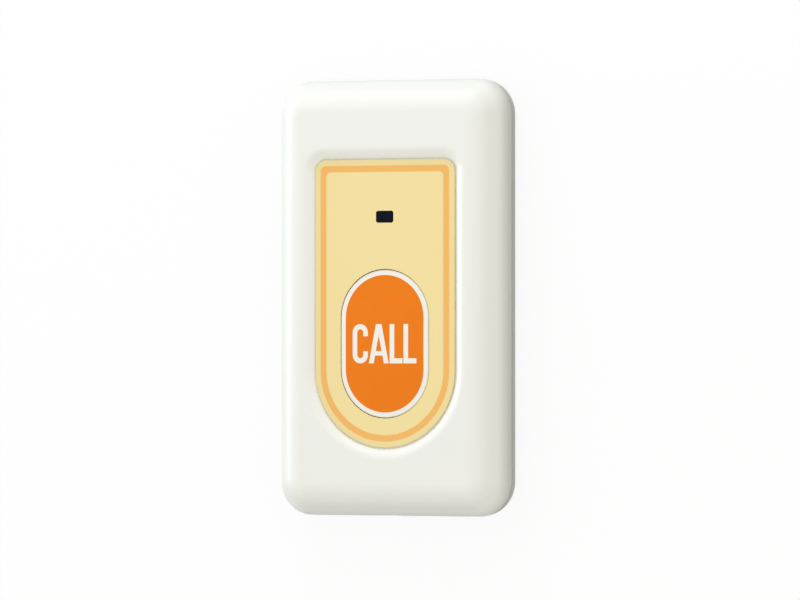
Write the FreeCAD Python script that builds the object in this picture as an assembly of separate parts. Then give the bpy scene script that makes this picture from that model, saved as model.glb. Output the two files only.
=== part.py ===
"""Wireless table call button: a slim two-part case with one large key, a printed label and a lamp window.

Frame: X across the case, Y along it towards the lamp end, Z out of the face the finger presses.
The origin is the centre of the flat back, which rests on the table or against the wall. Millimetres.
"""

import FreeCAD, Part
import math
import os
from FreeCAD import Vector

# Case, with its width and length taken at the back
case_width = 46.0
case_length = 84.5
corner_radius = 6.8
side_flare = 1.55           # how far the long sides lean out on their way up to the bevel
shoulder_corner_radius = 5.9
side_bevel_width = 4.35     # sloping border of the face, measured across the face
end_bevel_width = 3.4
bevel_drop = 4.6            # and measured down the side
face_corner_radius = 4.0
face_crease_radius = 5.5
side_crease_radius = 4.0
wall = 1.8
label_bed_wall = 1.6        # plastic left under the label
cover_floor = 1.6
cover_rim = 2.0             # height of the rear cover that shows at the side
back_edge_radius = 0.8
parting_gap = 0.3           # shadow line between the two halves

# Tongue of the rear cover that locates the front housing, and the seal round it
tongue_height = 1.8
tongue_wall = 1.0
tongue_clearance = 0.15
seal_width = 0.9
seal_groove_depth = 0.4
seal_clearance = 0.05

# Hooks at the lamp end and the screw at the key end
hook_width = 5.0
hook_spacing = 20.0
hook_reach = 0.75
hook_thickness = 1.0
hook_ledge = 1.25           # housing wall left under each hook
hook_clearance = 0.15
case_screw_height = 4.9     # screw axis above the back
case_screw_length = 6.0
case_screw_sink = 0.1       # head below the outside of the wall
case_screw_block_wall = 1.2 # plastic round the pilot hole
pilot_spare = 0.3           # pilot hole beyond the screw's tip

# Wall fixing holes and the shallow bed for mounting tape
wall_hole_radius = 1.9
wall_hole_inset = 12.25     # from each end of the case
wall_hole_collar_radius = 4.0
wall_hole_collar_height = 1.0
wall_hole_sink_radius = 3.4
wall_hole_sink_depth = 1.2
tape_bed_width = 32.0
tape_bed_length = 44.0
tape_bed_depth = 0.25
tape_bed_corner = 2.0

# Label and its recess
label_side_margin = 8.15    # case side to label
label_top_margin = 15.55
label_bottom_margin = 13.3
label_corner_radius = 2.3
label_sink = 0.8            # label top below the face
label_gap = 0.2
film_thickness = 0.35
adhesive_thickness = 0.1
lip_width = 1.6             # sloping lip round the recess
lip_drop = 1.15
lip_crease_radius = 2.0

# Key
key_side_margin = 5.55      # label edge to key
key_end_margin = 5.75
key_length = 28.6
key_rim = 1.0               # white rim round the coloured inlay
key_gap = 0.15
key_proud = 0.15            # crown above the label
key_crown_radius = 350.0
key_edge_radius = 0.25
key_travel = 0.6
key_wall = 1.2
key_flange_reach = 1.0
key_flange_thickness = 0.8
inlay_thickness = 0.7
key_web = 0.85              # white plastic under the inlay
key_stem_radius = 2.5
key_stem_length = 0.55
guide_clearance = 0.2       # flange to the collar that guides it
guide_wall = 1.0
guide_overrun = 0.5         # collar below the flange of the pressed key

# Word on the key, in letters that fill its width
word_margin = 1.5           # inlay edge to the word
letter_height = 7.6
letter_stroke = 1.0
letter_gap = 0.2
letter_c_ratio = 1.2        # widths against the width of the L
letter_a_ratio = 1.55

# Lamp window
lamp_width = 3.6
lamp_height = 2.2
lamp_corner = 0.4
lamp_below_middle = 0.4     # from halfway between the key and the top of the label
lamp_clearance = 0.05
lamp_flange_reach = 0.8
lamp_led_gap = 0.3

# Circuit board
board_margin = 2.2          # housing wall to the board's long edges
board_end_margin = 8.4      # and to its short edges
board_thickness = 1.0
board_corner = 1.5
board_screw_inset = 3.5
board_boss_radius = 2.3

# Screws, all with a cross recess
screw_radius = 1.0
screw_head_radius = 1.8
screw_head_height = 1.2
screw_fit = 0.03            # thread to pilot hole
screw_hole_clearance = 0.15
board_screw_length = 3.2
cross_width = 0.45
cross_length = 2.0
cross_depth = 0.7

# Coin cell and its contacts
cell_radius = 10.0
cell_thickness = 3.2
cell_cap_radius = 8.6       # smaller negative face
cell_cap_thickness = 0.4
cell_gap = 0.3              # clip to rear cover
clip_thickness = 0.3
clip_width = 7.0
clip_side_gap = 0.25
clip_foot = 1.8
pad_radius = 6.0
pad_thickness = 0.1

# Switch under the key
switch_side = 5.2
switch_floor = 0.3
switch_wall = 0.5
switch_cover = 0.2
plunger_radius = 1.2
plunger_flange_radius = 1.75
plunger_flange = 0.3
plunger_clearance = 0.08
plunger_left = 0.1          # of the plunger above the cover when the key is down
dome_radius = 1.9
dome_thickness = 0.1
dome_flat = 0.08            # height of the dome when the key is down
dome_gap = 0.02
terminal_width = 0.7
terminal_reach = 0.9
terminal_thickness = 0.2
terminal_spacing = 3.2

# Silicone boot between the switch and the key stem
boot_flange_radius = 7.0
boot_flange = 0.5
boot_inner_radius = 5.0
boot_top_radius = 3.3
boot_top = 0.4
boot_skin = 0.4

# Electronics on the board
led_width = 3.5
led_length = 2.8
led_height = 1.7
led_rim = 0.3               # package wall round the lens bowl
chip_length = 4.9
chip_width = 3.9
chip_height = 1.5
chip_lead_pitch = 1.27
chip_lead_width = 0.42
chip_lead_reach = 1.0
chip_lead_thickness = 0.2
resonator_radius = 4.2
resonator_brim = 0.4
resonator_brim_thickness = 0.4
resonator_height = 2.9
transistor_length = 2.9
transistor_width = 1.3
transistor_height = 1.0
choke_radius = 1.5
choke_height = 1.8
choke_edge_margin = 4.4     # board edge to the choke
chip_part_length = 2.0
chip_part_width = 1.25
capacitor_height = 0.9
resistor_height = 0.5
chip_part_pitch = 2.2
part_spacing = 1.6          # free board between neighbouring parts
coil_turns = 8
coil_pitch = 1.7
coil_radius = 1.25          # to the middle of the wire
coil_wire_radius = 0.3
coil_board_gap = 0.2

# Not sizes of the product: how far a cutting tool passes the surface it opens, and when points count as one
overcut = 1.0
same_place = 1e-4

# Heights that follow, from the back up to the key, the label and the face
clip_base = cover_floor + cell_gap
cell_base = clip_base + clip_thickness
cell_top = cell_base + cell_thickness
board_rear = cell_top + pad_thickness
board_front = board_rear + board_thickness
dome_rise = key_travel + dome_flat
switch_cavity = dome_rise + dome_gap + plunger_flange
switch_top = board_front + switch_floor + switch_cavity + switch_cover
plunger_top = switch_top + key_travel + plunger_left
boot_crown = plunger_top + boot_top
hollow_top = boot_crown + key_stem_length
inlay_base = hollow_top + key_web
key_top = inlay_base + inlay_thickness
film_top = key_top - key_proud
case_depth = film_top + label_sink
adhesive_base = film_top - film_thickness - adhesive_thickness
ceiling = adhesive_base - label_bed_wall
flange_base = ceiling - key_flange_thickness
guide_base = flange_base - key_travel - guide_overrun
wall_base = cover_rim + parting_gap
shoulder = case_depth - bevel_drop

# Outlines that follow
half_width = case_width / 2
half_length = case_length / 2
inner_half_width = half_width - wall
inner_half_length = half_length - wall
inner_corner = corner_radius - wall
widest = half_width + side_flare
bevel_turn = math.atan2(side_bevel_width, bevel_drop)
inner_shoulder = shoulder - wall * math.tan(bevel_turn / 2)
inner_widest = inner_half_width + side_flare * (inner_shoulder - wall_base) / (shoulder - wall_base)
inner_slope = (ceiling - inner_shoulder) / bevel_drop
label_half_width = half_width - label_side_margin
label_top_y = half_length - label_top_margin
label_bottom_y = label_bottom_margin - half_length
key_half_width = label_half_width - key_side_margin
key_straight = key_length / 2 - key_half_width
key_y = label_bottom_y + key_end_margin + key_length / 2
lamp_y = (key_y + key_length / 2 + label_top_y) / 2 - lamp_below_middle
word_width = 2 * (key_half_width - key_rim - word_margin)
letter_l_width = (word_width - 3 * letter_gap) / (letter_c_ratio + letter_a_ratio + 2)
letter_c_width = letter_l_width * letter_c_ratio
letter_a_width = letter_l_width * letter_a_ratio
board_half_width = inner_half_width - board_margin
board_half_length = inner_half_length - board_end_margin
board_screw_x = board_half_width - board_screw_inset
board_screw_y = board_half_length - board_screw_inset
wall_hole_y = half_length - wall_hole_inset
resonator_reach = resonator_radius + resonator_brim
parts_row_y = key_y + cell_radius + part_spacing + resonator_reach
coil_y = parts_row_y + resonator_reach + part_spacing + coil_radius + coil_wire_radius


def corner_arc(x, y, radius, start, end, z):
    """Arc in a horizontal plane round (x, y), from one angle to the other in degrees."""
    points = []
    for degrees in (start, (start + end) / 2, end):
        angle = math.radians(degrees)
        points.append(Vector(x + radius * math.cos(angle), y + radius * math.sin(angle), z))
    return Part.Arc(*points).toShape()


def joined(arcs):
    """Closed wire through these arcs in order, with straight lines between them."""
    edges = []
    for arc, following in zip(arcs, arcs[1:] + arcs[:1]):
        edges.append(arc)
        start = arc.Vertexes[-1].Point
        end = following.Vertexes[0].Point
        if start.distanceToPoint(end) > same_place:
            edges.append(Part.LineSegment(start, end).toShape())
    return Part.Wire(edges)


def rounded_rectangle(half_x, half_y, radius, z, x=0.0, y=0.0):
    """Rectangle with round corners, centred on (x, y)."""
    inner_x = half_x - radius
    inner_y = half_y - radius
    return joined([
        corner_arc(x + inner_x, y - inner_y, radius, -90, 0, z),
        corner_arc(x + inner_x, y + inner_y, radius, 0, 90, z),
        corner_arc(x - inner_x, y + inner_y, radius, 90, 180, z),
        corner_arc(x - inner_x, y - inner_y, radius, 180, 270, z),
    ])


def stadium(half_x, straight, y, z, x=0.0):
    """Upright oval with semicircular ends, half_x wide each way, centred on (x, y)."""
    return joined([
        corner_arc(x, y + straight, half_x, 0, 180, z),
        corner_arc(x, y - straight, half_x, 180, 360, z),
    ])


def label_outline(grow, z):
    """Label shape: square top with small corners, round bottom. grow moves the whole edge outwards."""
    half_x = label_half_width + grow
    radius = label_corner_radius + grow
    corner_x = label_half_width - label_corner_radius
    corner_y = label_top_y - label_corner_radius
    return joined([
        corner_arc(0, label_bottom_y + label_half_width, half_x, 180, 360, z),
        corner_arc(corner_x, corner_y, radius, 0, 90, z),
        corner_arc(-corner_x, corner_y, radius, 90, 180, z),
    ])


def key_outline(grow, z):
    return stadium(key_half_width + grow, key_straight, key_y, z)


def case_outline(inset, z):
    return rounded_rectangle(half_width - inset, half_length - inset, corner_radius - inset, z)


def prism(wire, height):
    return Part.Face(wire).extrude(Vector(0, 0, height))


def ring(outer, inner, height):
    return prism(outer, height).cut(prism(inner, height))


def block(x0, x1, y0, y1, z0, z1):
    return Part.makeBox(x1 - x0, y1 - y0, z1 - z0, Vector(x0, y0, z0))


def centred_block(x, y, size_x, size_y, z0, z1):
    return block(x - size_x / 2, x + size_x / 2, y - size_y / 2, y + size_y / 2, z0, z1)


def cylinder(x, y, radius, z0, z1):
    return Part.makeCylinder(radius, z1 - z0, Vector(x, y, z0))


def ball_under(radius, top):
    """Ball below height top, over the key's centre, turned so that its seam and poles are off the top."""
    ball = Part.makeSphere(radius)
    ball.rotate(Vector(0, 0, 0), Vector(1, 0, 0), 90)
    ball.translate(Vector(0, key_y, top - radius))
    return ball


def polygon_prism(points, z, height):
    wire = Part.makePolygon([Vector(px, py, z) for px, py in points + points[:1]])
    return prism(wire, height)


def edges_at_height(shape, z):
    """Edges that lie in the horizontal plane at height z."""
    return [
        edge for edge in shape.Edges
        if abs(edge.BoundBox.ZMin - z) < same_place and abs(edge.BoundBox.ZMax - z) < same_place
    ]


def edges_on(shape, wire):
    """Edges whose middle lies on this wire."""
    found = []
    for edge in shape.Edges:
        middle = edge.valueAt((edge.FirstParameter + edge.LastParameter) / 2)
        if wire.distToShape(Part.Vertex(middle))[0] < same_place:
            found.append(edge)
    return found


def one_solid(shape):
    """The single solid of a boolean result, with seams between coplanar faces removed."""
    cleaned = shape.removeSplitter()
    assert len(cleaned.Solids) == 1, "a piece fell apart into several solids"
    return cleaned.Solids[0]


def board_screw_places():
    return [(sx * board_screw_x, sy * board_screw_y) for sx in (-1, 1) for sy in (-1, 1)]


def cross_recess(top, depth):
    """Cross-shaped driver recess cut down from the top of a screw head on the Z axis."""
    slot = centred_block(0, 0, cross_length, cross_width, top - depth, top)
    return slot.fuse(centred_block(0, 0, cross_width, cross_length, top - depth, top))


def screw_shank(length):
    """Threaded part of a screw, from its head at z 0 down to a blunt cone."""
    tip = screw_radius * 0.8
    shank = Part.makeCylinder(screw_radius, length - tip, Vector(0, 0, tip - length))
    return shank.fuse(Part.makeCone(screw_radius * 0.3, screw_radius, tip, Vector(0, 0, -length)))


def pan_screw(length):
    """Pan-head screw pointing down, with the underside of its head at z 0."""
    head = Part.makeCylinder(screw_head_radius, screw_head_height)
    head = head.makeFillet(screw_head_height / 3, edges_at_height(head, screw_head_height))
    screw = head.fuse(screw_shank(length))
    return one_solid(screw.cut(cross_recess(screw_head_height, cross_depth)))


def countersunk_screw(length):
    """Countersunk screw pointing down, with the flat top of its head at z 0."""
    cone = screw_head_radius - screw_radius
    head = Part.makeCone(screw_radius, screw_head_radius, cone, Vector(0, 0, -cone))
    screw = head.fuse(screw_shank(length))
    return one_solid(screw.cut(cross_recess(0, cross_depth)))


def case_body():
    """Outside of the front housing: flared sides, then a bevel all round, with soft creases."""
    upper_edge = rounded_rectangle(widest, half_length, shoulder_corner_radius, shoulder)
    sides = Part.makeLoft([case_outline(0, wall_base), upper_edge], True, True)
    face_edge = rounded_rectangle(
        widest - side_bevel_width, half_length - end_bevel_width, face_corner_radius, case_depth)
    bevel = Part.makeLoft([upper_edge, face_edge], True, True)
    body = one_solid(sides.fuse(bevel))
    body = body.makeFillet(face_crease_radius, edges_at_height(body, case_depth))
    return body.makeFillet(side_crease_radius, edges_at_height(body, shoulder))


def case_cavity():
    """Space inside the front housing, which follows the sides and the bevel up to the ceiling."""
    low = case_outline(wall, wall_base)
    mid = rounded_rectangle(inner_widest, inner_half_length, inner_corner, inner_shoulder)
    side_step = side_bevel_width * inner_slope
    end_step = end_bevel_width * inner_slope
    top = rounded_rectangle(
        inner_widest - side_step, inner_half_length - end_step, inner_corner - end_step / 2, ceiling)
    return Part.makeLoft([low, mid], True, True).fuse(Part.makeLoft([mid, top], True, True))


def label_recess():
    """Sloping lip and the straight-sided bed that takes the adhesive and film."""
    lip_base = case_depth - lip_drop
    lip = Part.makeLoft(
        [label_outline(label_gap, lip_base), label_outline(label_gap + lip_width, case_depth)], True, True)
    bed = prism(label_outline(label_gap, adhesive_base), lip_base - adhesive_base)
    return lip.fuse(bed)


def hook_pocket(x):
    """Pocket in the lamp-end wall for one hook of the rear cover."""
    pocket_half = hook_width / 2 + hook_clearance
    z0 = wall_base + hook_ledge
    z1 = z0 + hook_thickness + 2 * hook_clearance
    depth = hook_reach - tongue_clearance + hook_clearance
    return block(x - pocket_half, x + pocket_half, inner_half_length, inner_half_length + depth, z0, z1)


def at_key_end(tool):
    """Turns a tool made along -Z, with its top at z 0, to go in through the key-end wall."""
    turned = tool.copy()
    turned.rotate(Vector(0, 0, 0), Vector(1, 0, 0), 90)
    turned.translate(Vector(0, -half_length, case_screw_height))
    return turned


def case_screw_hole():
    """Countersunk clearance hole through the key-end wall."""
    radius = screw_radius + screw_hole_clearance
    sink = screw_head_radius + screw_hole_clearance
    cone = sink - radius
    hole = Part.makeCylinder(radius, wall, Vector(0, 0, -wall))
    return at_key_end(hole.fuse(Part.makeCone(radius, sink, cone, Vector(0, 0, -cone))))


def make_front_housing():
    housing = case_body().cut(case_cavity()).cut(label_recess())
    lip_edges = edges_on(housing, label_outline(label_gap + lip_width, case_depth))
    housing = housing.makeFillet(lip_crease_radius, lip_edges)
    flange_grow = key_flange_reach + guide_clearance
    guide = ring(
        key_outline(flange_grow + guide_wall, guide_base), key_outline(flange_grow, guide_base),
        ceiling - guide_base)
    housing = housing.fuse(guide)
    for x, y in board_screw_places():
        housing = housing.fuse(cylinder(x, y, board_boss_radius, board_front, ceiling))
    for x, y in board_screw_places():
        pilot = screw_radius + screw_fit
        housing = housing.cut(cylinder(x, y, pilot, board_front, ceiling))
    housing = housing.cut(prism(key_outline(key_gap, ceiling), label_bed_wall))
    housing = housing.cut(prism(lamp_outline(lamp_clearance, ceiling), label_bed_wall))
    for side in (-1, 1):
        housing = housing.cut(hook_pocket(side * hook_spacing / 2))
    return one_solid(housing.cut(case_screw_hole()))


def lamp_outline(grow, z):
    return rounded_rectangle(
        lamp_width / 2 + grow, lamp_height / 2 + grow, lamp_corner + grow, z, 0, lamp_y)


def make_rear_cover():
    plate = prism(case_outline(0, 0), cover_rim)
    plate = plate.makeFillet(back_edge_radius, edges_at_height(plate, 0))
    tongue_outer = wall + tongue_clearance
    tongue_inner = tongue_outer + tongue_wall
    tongue = ring(
        case_outline(tongue_outer, cover_rim), case_outline(tongue_inner, cover_rim), tongue_height)
    cover = plate.cut(prism(case_outline(tongue_inner, cover_floor), cover_rim - cover_floor)).fuse(tongue)
    groove_outer = (wall - seal_width) / 2 - seal_clearance
    groove_inner = groove_outer + seal_width + 2 * seal_clearance
    groove_base = cover_rim - seal_groove_depth
    cover = cover.cut(ring(
        case_outline(groove_outer, groove_base), case_outline(groove_inner, groove_base),
        seal_groove_depth))
    for side in (-1, 1):
        cover = cover.fuse(cover_hook(side * hook_spacing / 2))
    cover = cover.fuse(case_screw_block()).cut(case_screw_pilot())
    for side in (-1, 1):
        y = side * wall_hole_y
        top = cover_floor + wall_hole_collar_height
        cover = cover.fuse(cylinder(0, y, wall_hole_collar_radius, cover_floor, top))
        cover = cover.cut(cylinder(0, y, wall_hole_radius, 0, top))
        cover = cover.cut(Part.makeCone(
            wall_hole_radius, wall_hole_sink_radius, wall_hole_sink_depth,
            Vector(0, y, top - wall_hole_sink_depth)))
    cover = cover.cut(prism(rounded_rectangle(
        tape_bed_width / 2, tape_bed_length / 2, tape_bed_corner, 0), tape_bed_depth))
    return one_solid(cover)


def cover_hook(x):
    """Arm that rises from the tongue at the lamp end and reaches into the housing wall."""
    outer = inner_half_length - tongue_clearance
    hook_base = wall_base + hook_ledge + hook_clearance
    hook_top = hook_base + hook_thickness
    left = x - hook_width / 2
    right = x + hook_width / 2
    arm = block(left, right, outer - tongue_wall, outer, cover_rim, hook_top)
    return arm.fuse(block(left, right, outer - tongue_wall, outer + hook_reach, hook_base, hook_top))


def case_screw_end():
    """Depth of the pilot hole below the outside of the key-end wall."""
    return case_screw_length + case_screw_sink + pilot_spare


def case_screw_block():
    """Block at the key end that the case screw bites into, clear of the end wall where that leans in."""
    reach = screw_radius + case_screw_block_wall
    top = case_screw_height + reach
    lean = max(top - inner_shoulder, 0) * end_bevel_width / bevel_drop
    outer = tongue_clearance + lean - inner_half_length
    inner = case_screw_end() + case_screw_block_wall - half_length
    return block(-reach, reach, outer, inner, cover_floor, top)


def case_screw_pilot():
    depth = case_screw_end()
    return at_key_end(Part.makeCylinder(screw_radius + screw_fit, depth - wall, Vector(0, 0, -depth)))


def make_case_seal():
    outer = (wall - seal_width) / 2
    base = cover_rim - seal_groove_depth
    return ring(
        case_outline(outer, base), case_outline(outer + seal_width, base), seal_groove_depth + parting_gap)


def make_case_screw():
    screw = at_key_end(countersunk_screw(case_screw_length))
    screw.translate(Vector(0, case_screw_sink, 0))
    return screw


def label_sheet(base, thickness):
    """Sheet of the label's shape with the key and lamp openings."""
    sheet = prism(label_outline(0, base), thickness)
    sheet = sheet.cut(prism(key_outline(key_gap, base), thickness))
    return sheet.cut(prism(lamp_outline(lamp_clearance, base), thickness))


def make_face_film():
    return label_sheet(adhesive_base + adhesive_thickness, film_thickness)


def make_film_adhesive():
    return label_sheet(adhesive_base, adhesive_thickness)


def make_lamp_window():
    """Dark light guide, flush with the label, with a flange under the ceiling."""
    head = prism(lamp_outline(0, ceiling), film_top - ceiling)
    base = board_front + led_height + lamp_led_gap
    return one_solid(head.fuse(prism(lamp_outline(lamp_flange_reach, base), ceiling - base)))


def letter_c(left, base):
    """C as a cut oval ring."""
    half = letter_c_width / 2
    straight = letter_height / 2 - half
    middle = key_y
    outer = stadium(half, straight, middle, base, left + half)
    inner = stadium(half - letter_stroke, straight, middle, base, left + half)
    shape = ring(outer, inner, inlay_thickness + overcut)
    mouth = letter_height * 0.19
    return shape.cut(block(
        left + half, left + letter_c_width, middle - mouth, middle + mouth,
        base, base + inlay_thickness + overcut))


def letter_a(left, base):
    """A as a narrow triangle with a bar."""
    bottom = key_y - letter_height / 2
    top = key_y + letter_height / 2
    half = letter_a_width / 2
    peak = letter_stroke * 0.6
    middle = left + half
    slope = (half - peak) / letter_height
    outer = polygon_prism([
        (left, bottom), (left + letter_a_width, bottom), (middle + peak, top), (middle - peak, top),
    ], base, inlay_thickness + overcut)
    bar_base = bottom + letter_height * 0.2
    bar_top = bar_base + letter_stroke * 0.85
    inside_low = half - letter_stroke * 1.03
    foot = polygon_prism([
        (middle - inside_low, bottom), (middle + inside_low, bottom),
        (middle + inside_low - slope * (bar_base - bottom), bar_base),
        (middle - inside_low + slope * (bar_base - bottom), bar_base),
    ], base, inlay_thickness + overcut)
    eye_half = inside_low - slope * (bar_top - bottom)
    eye = polygon_prism([
        (middle - eye_half, bar_top), (middle + eye_half, bar_top), (middle, bar_top + eye_half / slope),
    ], base, inlay_thickness + overcut)
    return outer.cut(foot).cut(eye)


def letter_l(left, base):
    """L as two strokes."""
    bottom = key_y - letter_height / 2
    top = key_y + letter_height / 2
    right = left + letter_l_width
    corner = left + letter_stroke
    arm = bottom + letter_stroke
    return polygon_prism([
        (left, bottom), (right, bottom), (right, arm), (corner, arm), (corner, top), (left, top),
    ], base, inlay_thickness + overcut)


def key_letters(base):
    """The four letters as prisms, centred on the key."""
    widths = [letter_c_width, letter_a_width, letter_l_width, letter_l_width]
    left = -word_width / 2
    letters = []
    for draw, width in zip([letter_c, letter_a, letter_l, letter_l], widths):
        letters.append(draw(left, base))
        left += width + letter_gap
    return letters


def crown():
    """Large ball whose top skin is the crowned top of the key."""
    return ball_under(key_crown_radius, key_top)


def make_key_cap():
    """White key: shell with a rim and raised letters, a flange that stops it, and a stem for the switch."""
    cap = prism(key_outline(0, ceiling), key_top - ceiling + overcut).common(crown())
    top_edges = [edge for edge in cap.Edges if edge.BoundBox.ZMin > (ceiling + key_top) / 2]
    cap = cap.makeFillet(key_edge_radius, top_edges)
    cap = cap.fuse(prism(key_outline(key_flange_reach, flange_base), key_flange_thickness))
    cap = cap.cut(prism(key_outline(-key_wall, flange_base), hollow_top - flange_base))
    cap = cap.fuse(cylinder(0, key_y, key_stem_radius, boot_crown, hollow_top))
    cap = cap.cut(prism(key_outline(-key_rim, inlay_base), inlay_thickness + overcut))
    for letter in key_letters(inlay_base):
        cap = cap.fuse(letter.common(crown()))
    return one_solid(cap)


def make_key_inlay():
    """Coloured second shot of the key, with the letters left open."""
    inlay = prism(key_outline(-key_rim, inlay_base), inlay_thickness + overcut)
    for letter in key_letters(inlay_base):
        inlay = inlay.cut(letter)
    inlay = inlay.common(crown())
    return Part.makeCompound(inlay.Solids)


def make_key_boot():
    """Silicone boot: a flange on the board, a thin cone and a flat crown between plunger and stem."""
    low = board_front
    profile = [
        (boot_inner_radius, low), (boot_flange_radius, low), (boot_flange_radius, low + boot_flange),
        (boot_inner_radius + boot_skin, low + boot_flange), (boot_top_radius, plunger_top + boot_top),
        (0, plunger_top + boot_top), (0, plunger_top), (boot_top_radius - boot_skin, plunger_top),
        (boot_inner_radius, low + boot_flange),
    ]
    wire = Part.makePolygon([Vector(r, 0, z) for r, z in profile + profile[:1]])
    boot = Part.Face(wire).revolve(Vector(0, 0, 0), Vector(0, 0, 1), 360)
    boot.translate(Vector(0, key_y, 0))
    return boot


def make_switch_base():
    top = board_front + switch_floor + switch_cavity
    base = centred_block(0, key_y, switch_side, switch_side, board_front, top)
    radius = switch_side / 2 - switch_wall
    return base.cut(cylinder(0, key_y, radius, board_front + switch_floor, top))


def make_switch_cover():
    base = switch_top - switch_cover
    cover = centred_block(0, key_y, switch_side, switch_side, base, switch_top)
    return cover.cut(cylinder(0, key_y, plunger_radius + plunger_clearance, base, switch_top))


def make_switch_plunger():
    flange_top = switch_top - switch_cover
    flange = cylinder(0, key_y, plunger_flange_radius, flange_top - plunger_flange, flange_top)
    return one_solid(flange.fuse(cylinder(0, key_y, plunger_radius, flange_top, plunger_top)))


def make_switch_dome():
    """Thin snap dome standing on the floor of the switch, with the plunger on its crown."""
    base = board_front + switch_floor
    crown_z = base + dome_rise
    radius = (dome_radius ** 2 + dome_rise ** 2) / (2 * dome_rise)
    outer = ball_under(radius, crown_z)
    inner = ball_under(radius - dome_thickness, crown_z - dome_thickness)
    return one_solid(cylinder(0, key_y, dome_radius, base, crown_z).common(outer).cut(inner))


def make_switch_terminals():
    """Four tinned feet at the sides of the switch."""
    feet = []
    for side in (-1, 1):
        for end in (-1, 1):
            x = side * (switch_side / 2 + terminal_reach / 2)
            y = key_y + end * terminal_spacing / 2
            feet.append(centred_block(
                x, y, terminal_reach, terminal_width, board_front, board_front + terminal_thickness))
    return Part.makeCompound(feet)


def make_circuit_board():
    outline = rounded_rectangle(board_half_width, board_half_length, board_corner, board_rear)
    board = prism(outline, board_thickness)
    for x, y in board_screw_places():
        board = board.cut(cylinder(x, y, screw_radius + screw_hole_clearance, board_rear, board_front))
    return board


def make_board_screws():
    """Four screws that hold the board to the bosses of the front housing, heads towards the back."""
    screws = []
    for x, y in board_screw_places():
        screw = pan_screw(board_screw_length)
        screw.rotate(Vector(0, 0, 0), Vector(1, 0, 0), 180)
        screw.translate(Vector(x, y, board_rear))
        screws.append(screw)
    return Part.makeCompound(screws)


def make_coin_cell():
    can = cylinder(0, key_y, cell_radius, cell_base, cell_top - cell_cap_thickness)
    can = can.makeFillet(cell_cap_thickness, edges_at_height(can, cell_base))
    cap = cylinder(0, key_y, cell_cap_radius, cell_top - cell_cap_thickness, cell_top)
    return one_solid(can.fuse(cap))


def make_cell_clip():
    """Spring steel strap under the cell, with a leg and a soldered foot at each side."""
    leg = cell_radius + clip_side_gap
    y0 = key_y - clip_width / 2
    y1 = key_y + clip_width / 2
    clip = block(-leg - clip_thickness, leg + clip_thickness, y0, y1, clip_base, cell_base)
    for side in (-1, 1):
        inner = side * leg
        outer = side * (leg + clip_thickness)
        foot = side * (leg + clip_foot)
        clip = clip.fuse(block(min(inner, outer), max(inner, outer), y0, y1, clip_base, board_rear))
        clip = clip.fuse(block(
            min(inner, foot), max(inner, foot), y0, y1, board_rear - clip_thickness, board_rear))
    return one_solid(clip)


def make_cell_pad():
    return cylinder(0, key_y, pad_radius, cell_top, board_rear)


def make_status_led():
    """Small white package with a sloped lens bowl under the lamp window."""
    body = centred_block(0, lamp_y, led_width, led_length, board_front, board_front + led_height)
    bowl_depth = led_height / 3
    bowl_radius = led_length / 2 - led_rim
    top = board_front + led_height
    return body.cut(Part.makeCone(
        bowl_radius * 0.7, bowl_radius, bowl_depth, Vector(0, lamp_y, top - bowl_depth)))


def chip_place():
    """Centre of the encoder chip: on the back of the board, clear of the cell."""
    return (-(part_spacing + chip_width) / 2 - chip_lead_reach, parts_row_y)


def make_encoder_chip():
    x, y = chip_place()
    stand_off = 0.1
    return centred_block(
        x, y, chip_width, chip_length, board_rear - stand_off - chip_height, board_rear - stand_off)


def lead(x, y, side, reach, drop):
    """Gull-wing lead from a package side at x down to the back of the board."""
    thickness = chip_lead_thickness
    bend = reach * 0.45
    points = [
        (0, drop), (bend, drop), (bend, 0), (reach, 0), (reach, thickness),
        (bend + thickness, thickness), (bend + thickness, drop + thickness), (0, drop + thickness),
    ]
    wire = Part.makePolygon([
        Vector(x + side * px, y - chip_lead_width / 2, board_rear - pz) for px, pz in points + points[:1]])
    return Part.Face(wire).extrude(Vector(0, chip_lead_width, 0))


def make_chip_leads():
    """Leads of the encoder chip and of the transistor."""
    leads = []
    x, y = chip_place()
    for row in range(4):
        lead_y = y + (row - 1.5) * chip_lead_pitch
        for side in (-1, 1):
            leads.append(lead(x + side * chip_width / 2, lead_y, side, chip_lead_reach, chip_height / 2))
    tx, ty = transistor_place()
    offset = transistor_length / 2 - chip_lead_width
    for side, lead_y in ((-1, ty - offset), (-1, ty + offset), (1, ty)):
        leads.append(lead(
            tx + side * transistor_width / 2, lead_y, side, chip_lead_reach / 2, transistor_height / 2))
    return Part.makeCompound(leads)


def transistor_place():
    """Centre of the transistor, outside the encoder chip."""
    x, y = chip_place()
    clear = chip_width / 2 + chip_lead_reach + part_spacing + chip_lead_reach / 2
    return (x - clear - transistor_width / 2, y)


def make_rf_transistor():
    x, y = transistor_place()
    stand_off = 0.1
    return centred_block(
        x, y, transistor_width, transistor_length,
        board_rear - stand_off - transistor_height, board_rear - stand_off)


def resonator_place():
    return (part_spacing / 2 + resonator_reach, parts_row_y)


def make_rf_resonator():
    """Round metal can with a brim that stands on the board."""
    x, y = resonator_place()
    base = board_rear - resonator_height
    can = cylinder(x, y, resonator_radius, base, board_rear - resonator_brim_thickness)
    can = can.makeFillet(resonator_brim, edges_at_height(can, base))
    brim = cylinder(x, y, resonator_reach, board_rear - resonator_brim_thickness, board_rear)
    return one_solid(can.fuse(brim))


def make_rf_choke():
    """Small drum choke on the back of the board, beside the aerial."""
    x = board_half_width - choke_edge_margin - choke_radius
    end = choke_height / 4
    low = board_rear - choke_height
    choke = cylinder(x, coil_y, choke_radius * 0.7, low, board_rear)
    choke = choke.fuse(cylinder(x, coil_y, choke_radius, low, low + end))
    return one_solid(choke.fuse(cylinder(x, coil_y, choke_radius, board_rear - end, board_rear)))


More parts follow.
